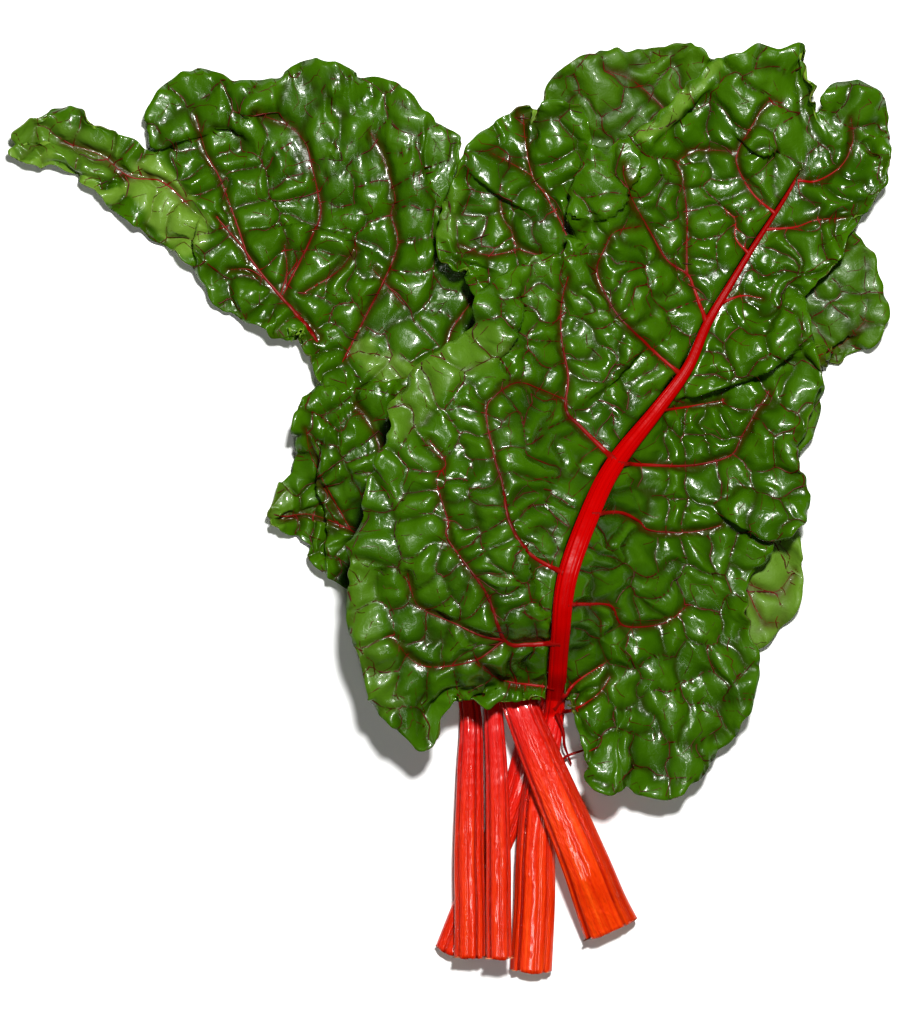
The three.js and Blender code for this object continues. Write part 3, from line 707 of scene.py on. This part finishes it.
def stalk_piece(name):
    """The stalk and midrib of a leaf: a ribbed, grooved section carried along its line, with a cut end."""
    seed = LEAVES.index(name)
    line = smooth_line(STALKS[name], STALK_STEP)
    plan, width = line[:, :2] * MM, line[:, 2] * MM
    ahead = directions(plan)
    across = np.stack([ahead[:, 1], -ahead[:, 0]], 1)
    thick = width * (0.46 + 0.24 * (1 - smooth_step(width, 4 * MM, 10 * MM)))
    middle = cad_underside(name, plan) + thick / 2
    run = run_along(plan)
    neck_run = np.interp(NECK_Y[name] * MM, plan[:, 1], run)
    wet_share = 1 - 0.85 * smooth_step(run, neck_run - 0.03, neck_run)
    wet_share += 0.9 * (1 - smooth_step(run, 0.04, 0.12))

    # The section: half widths and half heights round it, with its ribs and the grooves in its upper side
    dice = np.random.default_rng(seed + 40)
    turn = np.arange(STALK_SIDES) / STALK_SIDES * 2 * math.pi
    a = np.sign(np.cos(turn)) * np.abs(np.cos(turn)) ** 0.9 / 2
    b = np.sign(np.sin(turn)) * np.abs(np.sin(turn)) ** 0.82 / 2
    ribs = sum(dice.uniform(0.5, 1) * np.cos(count * turn + dice.uniform(0, 6)) for count in (17, 23, 31)) / 3
    cuts = sum(depth * np.exp(-(((a - place) / size) ** 2)) for place, depth, size in GROOVES[name]) * (b > 0)

    bm = bmesh.new()
    grain = bm.verts.layers.float_vector.new("grain")
    near_cut = bm.verts.layers.float.new("near_cut")
    groove = bm.verts.layers.float.new("groove")
    wetness = bm.verts.layers.float.new("wetness")
    near_tip = bm.verts.layers.float.new("near_tip")
    loops = []
    for k in range(len(plan)):
        big = smooth_step(width[k], 4 * MM, 11 * MM)
        swell = 1 + 0.02 * ribs * big
        skin = np.stack([np.full(STALK_SIDES, run[k]), a * width[k]], 1)
        uneven = waves(skin, STALK_WAVES, seed + 60)
        height = np.maximum(b * swell - big * cuts + (b > 0) * big * uneven / thick[k], -0.5)
        ring = bmesh.ops.create_circle(bm, segments=STALK_SIDES, radius=1)["verts"]
        for vert, u, v, angle, deep in zip(ring, a * swell, height, turn, cuts):
            place = plan[k] + u * width[k] * across[k] + (k == 0) * ragged(u, v, seed) * ahead[0]
            vert.co = (place[0], place[1], middle[k] + v * thick[k])
            vert[grain] = (run[k] * 9, math.cos(angle) * 2.2, math.sin(angle) * 2.2)
            vert[near_cut] = CUT_TINT[name] * float(1 - smooth_step(run[k], 0.02, 0.12))
            # groove: how deep the vertex sits in a groove, used for the painted shade there.
            vert[groove] = min(1.0, 5 * big * deep)
            vert[wetness] = float(wet_share[k] * big)
            vert[near_tip] = float(smooth_step(run[k], neck_run + 0.1, run[-1]))
        loops.append(list({edge for vert in ring for edge in vert.link_edges}))
    for first, second in zip(loops[:-1], loops[1:]):
        bmesh.ops.bridge_loops(bm, edges=first + second)
    ends = bmesh.ops.holes_fill(bm, edges=[edge for edge in bm.edges if edge.is_boundary], sides=0)["faces"]
    cut_face = min(ends, key=lambda face: face.calc_center_median().y)
    rim = bmesh.ops.inset_individual(bm, faces=[cut_face], thickness=0.9 * MM, depth=0)["faces"]
    for face in [cut_face, *rim]:
        face.material_index = 1
    bmesh.ops.inset_individual(bm, faces=[cut_face], thickness=2.2 * MM, depth=-0.25 * MM)
    for face in bm.faces:
        if face.calc_center_median().y > NECK_Y[name] * MM:
            face.material_index = 2
    bmesh.ops.recalc_face_normals(bm, faces=bm.faces)
    piece = mesh_object(f"{name}_stalk_finish", bm, [STALK, CUT, MIDRIB])
    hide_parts(f"{name}_stalk")
    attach(piece, "root")
    return piece


# Blades


def top_sheet(name):
    """The upper face of a CAD blade as a finer smooth sheet."""
    bm = bmesh.new()
    bm.from_mesh(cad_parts[f"{name}_blade"].data)
    bmesh.ops.remove_doubles(bm, verts=bm.verts, dist=0.01 * MM)
    bm.normal_update()
    below = [face for face in bm.faces if face.normal.z < 0.02]
    bmesh.ops.delete(bm, geom=below, context="FACES")
    bmesh.ops.join_triangles(bm, faces=bm.faces, angle_face_threshold=math.pi, angle_shape_threshold=math.pi)
    thin_rows(bm, name, FRONT_ROWS_OUT if name == "front" else 0)
    sheet = mesh_object(f"{name}_sheet", bm, [])
    finer = sheet.modifiers.new("finer", "SUBSURF")
    finer.levels = finer.render_levels = 3
    mesh = finished_mesh(sheet)
    bpy.data.objects.remove(sheet)
    return mesh


def thin_rows(bm, name, count):
    """Takes the most crowded rows out of a blade's grid, each from the margin to the midrib."""
    rib = midrib_line(name)
    for _ in range(count):
        outer = [vert for vert in bm.verts if vert.is_boundary and len(vert.link_edges) == 3]
        far = distance_to_points(np.array([vert.co[:2] for vert in outer]), rib) > 12 * MM
        outer = [vert for vert, kept in zip(outer, far) if kept]
        vert = min(outer, key=lambda v: sum(edge.calc_length() for edge in v.link_edges if edge.is_boundary))
        edge = next(edge for edge in vert.link_edges if not edge.is_boundary)
        row = [edge]
        vert = edge.other_vert(vert)
        while len(vert.link_edges) == 4:
            beside = set(edge.link_faces)
            edge = next(other for other in vert.link_edges if not set(other.link_faces) & beside)
            row.append(edge)
            vert = edge.other_vert(vert)
        bmesh.ops.dissolve_edges(bm, edges=row, use_verts=True)


def margin_points(mesh, name):
    """The points on the outer margin of a sheet in plan, and the way out of the leaf at each."""
    bm = bmesh.new()
    bm.from_mesh(mesh)
    out = {}
    for edge in bm.edges:
        if edge.is_boundary:
            way = (edge.verts[1].co - edge.verts[0].co).xy.orthogonal()
            inside = edge.link_faces[0].calc_center_median().xy - edge.verts[0].co.xy
            for vert in edge.verts:
                out[vert] = out.get(vert, Vector((0, 0))) + (-way if way @ inside > 0 else way)
    points = np.array([vert.co[:2] for vert in out])
    ways = np.array([way.normalized()[:] for way in out.values()])
    bm.free()
    kept = distance_to_points(points, midrib_line(name)) > (6 * MM if name == "front" else 0)
    return points[kept], ways[kept]


def cells_at(places, seeds):
    """For each place its distance from the nearest line between two cells, and the number of its cell."""
    to_line = np.empty(len(places))
    cell = np.empty(len(places), int)
    for part in np.array_split(np.arange(len(places)), max(1, len(places) // CHUNK)):
        away = ((places[part][:, None, :] - seeds[None, :, :]) ** 2).sum(2)
        two = np.argpartition(away, 1, axis=1)[:, :2]
        near, far = np.take_along_axis(away, two, 1).T
        swap = near > far
        one = np.where(swap, two[:, 1], two[:, 0])
        other = np.where(swap, two[:, 0], two[:, 1])
        to_line[part] = np.abs(far - near) / (2 * np.linalg.norm(seeds[one] - seeds[other], axis=1))
        cell[part] = one
    return to_line, cell


def fold(plan, rise, reach, line):
    """Lift and sideways shift that make the lobe left of a line lap over the lobe right of it."""
    ahead = directions(line)
    left = np.stack([-ahead[:, 1], ahead[:, 0]], 1)
    lift = np.zeros(len(plan))
    slide = np.zeros((len(plan), 2))
    close = np.flatnonzero(distance_to_points(plan, line) < 3 * reach)
    nearest = nearest_point(plan[close], line)
    offset = plan[close] - line[nearest]
    side = (offset * left[nearest]).sum(1)
    away = np.linalg.norm(offset, axis=1)
    share = np.sin(math.pi * np.clip(nearest / (len(line) - 1), 0.02, 0.98)) ** 0.4
    share *= np.exp(-(away - np.abs(side)) / (3 * MM))
    over = smooth_step(side, -0.8 * MM, 0.8 * MM)
    lift[close] = rise * share * np.exp(-((away / reach) ** 2)) * (over - 0.45 * (1 - over))
    slide[close] = -left[nearest] * (2.0 * MM * share * over * np.exp(-away / (3 * MM)))[:, None]
    return lift, slide


def blade_piece(name, below):
    """A blade with its blisters, veins' valleys and crinkled margin, laid clear of the pieces below it."""
    seed = 10 * LEAVES.index(name) + 3
    mesh = top_sheet(name)
    place = coordinates(mesh)
    plan = place[:, :2].copy()
    veins = [smooth_line(points, 1.2) * MM for _, points in SIDE_VEINS[name]]
    rib = smooth_line(STALKS[name], 1.5)
    rib = rib[rib[:, 1] > NECK_Y[name] - 4][:, :2] * MM
    main = np.vstack([*veins, rib]) if name in ("front", "middle_left") else np.vstack(veins)
    to_main = distance_to_points(plan, main)
    edge, outward = margin_points(mesh, name)
    nearest = nearest_point(plan, edge)
    to_edge = np.linalg.norm(plan - edge[nearest], axis=1)

    spacing = BLISTER_SPACING[name] * MM
    low, high = plan.min(0) - spacing, plan.max(0) + spacing
    beside_veins = vein_seeds([*veins, rib], main, ROW_PITCH * spacing, ROW_OFFSET * spacing, seed + 20)
    seeds = scatter(low, high, spacing, main, 0.42 * spacing, seed)
    seeds = np.vstack([beside_veins, seeds[distance_to_points(seeds, beside_veins) > 0.8 * spacing]])
    fine_seeds = scatter(low, high, FINE_SPACING * MM, main, 2 * MM, seed + 1)
    shifted = warp(plan, seed)
    crown, cell = cells_at(shifted, seeds)
    fine_crown, fine_cell = cells_at(shifted, fine_seeds)
    dice = np.random.default_rng(seed)
    wall = dome(to_main, 0.34 * spacing)
    pillow = dice.uniform(0.45, 1.1, len(seeds))[cell] * dome(crown, 0.46 * spacing) * wall
    fine = dice.uniform(-0.4, 1.0, len(fine_seeds))[fine_cell] * dome(fine_crown, 0.5 * FINE_SPACING * MM)
    height = BLISTER_HEIGHT[name] * MM * (pillow - 0.45)
    height += FINE_HEIGHT * MM * fine * (0.3 + 0.7 * wall)
    height += waves(plan, BLADE_WAVES, seed + 7)
    rough_patch = 0.5 + 0.5 * np.clip(ripple(plan, 34 * MM, seed + 16), -1, 1)
    height += rough_patch * waves(plan, WRINKLES, seed + 17)
    height -= 0.8 * MM * np.exp(-((to_main / (2 * MM)) ** 2))
    neck = np.linalg.norm(plan - rib[0], axis=1)
    crinkle = np.exp(-to_edge / (10 * MM)) * smooth_step(neck, 8 * MM, 28 * MM)
    height += crinkle * waves(plan, MARGIN_WAVES, seed + 9)
    sway = np.stack([ripple(plan, 24 * MM, seed + 11), ripple(plan, 24 * MM, seed + 12)], 1)
    sway += 0.6 * np.stack([ripple(plan, 9 * MM, seed + 13), ripple(plan, 9 * MM, seed + 14)], 1)
    sideways = crinkle[:, None] * (1.2 * MM * sway + MARGIN_REACH * MM * outward[nearest])
    for middle, reach, shift in MARGIN_SHIFTS.get(name, []):
        away = np.linalg.norm(plan - np.array(middle) * MM, axis=1)
        sideways += np.exp(-((away / (reach * MM)) ** 2))[:, None] * np.array(shift) * MM
    for rise, reach, points in FOLDS[name]:
        lift, slide = fold(plan, rise * MM, reach * MM, smooth_line(points, 1.0) * MM)
        height += lift
        sideways += slide
    pale = np.zeros(len(plan))
    for strength, wide, points in PALE[name]:
        away = distance_to_points(plan, smooth_line(points, 1.5) * MM)
        away += 1.5 * MM * ripple(plan, 12 * MM, seed + 15)
        pale = np.maximum(pale, strength * (1 - smooth_step(away, 0.3 * wide * MM, 0.5 * wide * MM)))

    normals = np.empty(3 * len(mesh.vertices))
    mesh.vertices.foreach_get("normal", normals)
    place = place + normals.reshape(-1, 3) * height[:, None]
    place[:, :2] += sideways
    if name == "front":
        beside = 1 - smooth_step(distance_to_points(plan, rib), 4 * MM, 7 * MM)
        place = place * (1 - beside[:, None]) + coordinates(mesh) * beside[:, None]
        offset = plan - rib[nearest_point(plan, rib)]
        away = np.maximum(np.linalg.norm(offset, axis=1), 0.1 * MM)
        pull = 1.1 * MM * smooth_step(plan[:, 1], 10 * MM, 60 * MM) * np.exp(-((away / (6 * MM)) ** 2))
        place[:, :2] -= offset / away[:, None] * pull[:, None]
    edges = np.empty(2 * len(mesh.edges), int)
    mesh.edges.foreach_get("vertices", edges)
    lift_clear(place, edges.reshape(-1, 2), below)
    mesh.vertices.foreach_set("co", place.ravel())
    # crown holds the blister height for the leaf colour: painted light on the blister tops, painted shade in
    # the valleys.
    set_attribute(mesh, "crown", 0.6 * np.clip(pillow, 0, 1))
    # near_vein: a red-brown halo along the main veins, and painted shade along the valley lines between the
    # blisters.
    near_vein = 0.7 * np.exp(-((to_main / (1.6 * MM)) ** 2)) + 0.22 * np.exp(-((crown / (0.7 * MM)) ** 2))
    set_attribute(mesh, "near_vein", near_vein)
    set_attribute(mesh, "margin", 0.4 * np.exp(-to_edge / (3 * MM)))
    set_attribute(mesh, "pale", pale)
    mesh.update()
    upper = LEAF_TOP_DULL if name == "back" else LEAF_TOP
    piece = smooth_object(f"{name}_blade_finish", mesh, [upper, LEAF_UNDER, LEAF_RIM])
    thickness = piece.modifiers.new("thickness", "SOLIDIFY")
    thickness.thickness = BLADE_THICKNESS
    thickness.offset = -1
    thickness.material_offset = 1
    thickness.material_offset_rim = 2
    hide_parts(f"{name}_blade")
    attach(piece, "root")
    net = [unwarp(np.linspace(a, b, 7), seed) for a, b in cell_edges(seeds)]
    fine_net = [unwarp(np.linspace(a, b, 4), seed) for a, b in cell_edges(fine_seeds)]
    net = [line for line in net if distance_to_points(line, main).max() > 3.2 * MM]
    fine_net = [line for line in fine_net if distance_to_points(line, main).max() > 2.4 * MM]
    return piece, net, fine_net


def lift_clear(place, edges, below):
    """Lifts a sheet clear of the floor and the pieces below it, so that it bends softly over them."""
    least = np.full(len(place), BLADE_THICKNESS + FLOOR_GAP)
    for number, point in enumerate(place):
        for tree in below:
            hit = tree.ray_cast(Vector((point[0], point[1], 1)), DOWN)[0]
            if hit is not None:
                least[number] = max(least[number], hit.z + REST_GAP + BLADE_THICKNESS)
    needed = np.maximum(least - place[:, 2], 0)
    lift = needed.copy()
    count = np.bincount(edges.ravel(), minlength=len(place))
    for _ in range(LIFT_PASSES):
        total = np.bincount(edges[:, 0], lift[edges[:, 1]], len(place))
        total += np.bincount(edges[:, 1], lift[edges[:, 0]], len(place))
        lift = np.maximum(needed, total / np.maximum(count, 1))
    place[:, 2] += lift


# Veins


def vein_piece(name, blade, stalk, net, fine_net):
    """The red veins of a blade as thin cords half sunk in it: side veins and the finer net between them."""
    surface = surface_of(blade)
    midrib = surface_of(stalk) if name == "front" else None
    curve = bpy.data.curves.new(f"{name}_veins", "CURVE")
    curve.dimensions = "3D"
    curve.bevel_depth = 1.0
    curve.bevel_resolution = 1
    curve.use_fill_caps = True
    dice = random.Random(LEAVES.index(name) + 70)

    def lay(points, radii, on_midrib=None):
        """Lays a cord along points in plan. A side vein also crosses the slit beside the midrib into it."""
        height = np.full(len(points), np.nan)
        sunk = np.full(len(points), 0.6)
        for number, (x, y) in enumerate(points):
            hit = surface.ray_cast(Vector((x, y, 1)), DOWN)[0]
            rib_hit = on_midrib.ray_cast(Vector((x, y, 1)), DOWN)[0] if on_midrib else None
            if hit:
                height[number] = hit.z
            if rib_hit and not height[number] > rib_hit.z:
                height[number], sunk[number] = rib_hit.z, 0.95
        known = np.flatnonzero(~np.isnan(height))
        if on_midrib and len(known) > 1:
            height = np.interp(np.arange(len(points)), known, height[known], right=np.nan)
        breaks = np.flatnonzero(np.isnan(height))
        for run in np.split(np.arange(len(points)), breaks):
            run = run[~np.isnan(height[run])]
            if len(run) < 2:
                continue
            spline = curve.splines.new("POLY")
            spline.points.add(len(run) - 1)
            for point, number in zip(spline.points, run):
                radius = radii[number] * dice.uniform(0.94, 1.06)
                point.co = (*points[number], height[number] - sunk[number] * radius, 1)
                point.radius = radius

    for width, points in SIDE_VEINS[name]:
        line = smooth_line(points, 1.5) * MM
        start = 0.45 if name == "front" else -0.7
        taper = np.maximum(np.linspace(1, 0.28, len(line)) ** 1.5, 0.25)
        taper += start * np.exp(-np.arange(len(line)) / 3)
        lay(line, 0.4 * width * MM * taper, midrib)
    for width, points in TWIGS.get(name, []):
        spline = curve.splines.new("POLY")
        line = smooth_line(points, 1.0) * MM
        spline.points.add(len(line) - 1)
        for point, place, size in zip(spline.points, line, np.linspace(1, 0.45, len(line))):
            point.co = (*place, 1)
            point.radius = 0.5 * width * MM * size * dice.uniform(0.9, 1.1)
    for line in net:
        size = dice.uniform(0.24, 0.46) * MM
        if dice.random() < 0.75:
            lay(line, [size] * len(line))
    for line in fine_net:
        size = dice.uniform(0.14, 0.24) * MM
        if dice.random() < 0.5:
            lay(line, [size] * len(line))
    cords = linked(f"{name}_veins", curve)
    mesh = finished_mesh(cords)
    bpy.data.objects.remove(cords)
    plan = coordinates(mesh)[:, :2]
    main = [points for _, points in SIDE_VEINS[name]]
    main += [[point[:2] for point in points] for _, points in TWIGS.get(name, [])]
    to_main = distance_to_points(plan, np.vstack([smooth_line(points, 1.5) * MM for points in main]))
    to_midrib = distance_to_points(plan, midrib_line(name))
    bright = 1.0 if name == "front" else 0.35
    set_attribute(mesh, "strength", 1 - smooth_step(to_main, 1.2 * MM, 2.2 * MM))
    set_attribute(mesh, "root", bright * (1 - smooth_step(to_midrib, 6 * MM, 34 * MM)))
    piece = smooth_object(f"{name}_vein_net", mesh, [VEIN])
    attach(piece, "root")
    return piece


# Water


def water_beads(stalk):
    """Small flat drops that sit in the groove of a stalk."""
    surface = surface_of(stalk)
    bm = bmesh.new()
    for x, y, size in BEADS:
        hit, normal, _, _ = surface.ray_cast(Vector((x * MM, y * MM, 1)), DOWN)
        bead = bmesh.ops.create_icosphere(bm, subdivisions=3, radius=0.5 * size * MM)["verts"]
        bmesh.ops.scale(bm, verts=bead, vec=(1, 1.15, 0.7))
        bmesh.ops.translate(bm, verts=bead, vec=hit + 0.12 * size * MM * normal)
    beads = mesh_object("water_beads", bm, [WATER])
    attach(beads, "root")


# The bunch

stalks = {name: stalk_piece(name) for name in LEAVES}
laid = []
for number, name in enumerate(LEAVES):
    lower = [surface_of(stalks[other]) for other in LEAVES[:number]]
    own = [] if name == "front" else [surface_of(stalks[name])]
    blade, net, fine_net = blade_piece(name, laid + lower + own)
    vein_piece(name, blade, stalks[name], net, fine_net)
    laid.append(surface_of(blade))
water_beads(stalks["front"])


# Floor, light and camera

bm = bmesh.new()
bmesh.ops.create_grid(bm, x_segments=1, y_segments=1, size=4)
floor_material, _, floor_shader = new_material("pale_floor")
floor_shader.inputs["Base Color"].default_value = (0.93, 0.93, 0.92, 1)
floor_shader.inputs["Roughness"].default_value = 0.8
floor = mesh_object("floor", bm, [floor_material])

world = bpy.data.worlds.new("soft_room")
bpy.context.scene.world = world
world.use_nodes = True
world.node_tree.nodes["Background"].inputs["Color"].default_value = (1, 1, 1, 1)
world.node_tree.nodes["Background"].inputs["Strength"].default_value = 0.04


def area_light(name, place, aim, size, length, power):
    lamp = bpy.data.lights.new(name, "AREA")
    lamp.shape = "ELLIPSE"
    lamp.size = size
    lamp.size_y = length
    lamp.energy = power
    holder = linked(name, lamp)
    holder.location = place
    holder.rotation_euler = (Vector(aim) - Vector(place)).to_track_quat("-Z", "Y").to_euler()


area_light("key", (0.18, 0.56, 1.6), (0, 0, 0), 0.2, 0.2, 38)
area_light("fill", (-1.2, -0.6, 1.6), (0, 0, 0), 2.2, 2.2, 0.9)
area_light("sheen", (0.08, -0.45, 1.5), (0.02, -0.1, 0), 0.09, 1.0, 3)

VIEW_HEIGHT = 2.4
VIEW_PLANE = 0.02  # the height at which the photograph's scale was read
PHOTO_HEIGHT = 0.4608
camera = bpy.data.cameras.new("camera")
camera.lens = 36 * (VIEW_HEIGHT - VIEW_PLANE) / PHOTO_HEIGHT
eye = linked("camera", camera)
eye.location = (-0.0009, -0.0018, VIEW_HEIGHT)
bpy.context.scene.camera = eye
bpy.context.scene.view_settings.view_transform = "Standard"
bpy.context.scene.view_settings.look = "Medium High Contrast"
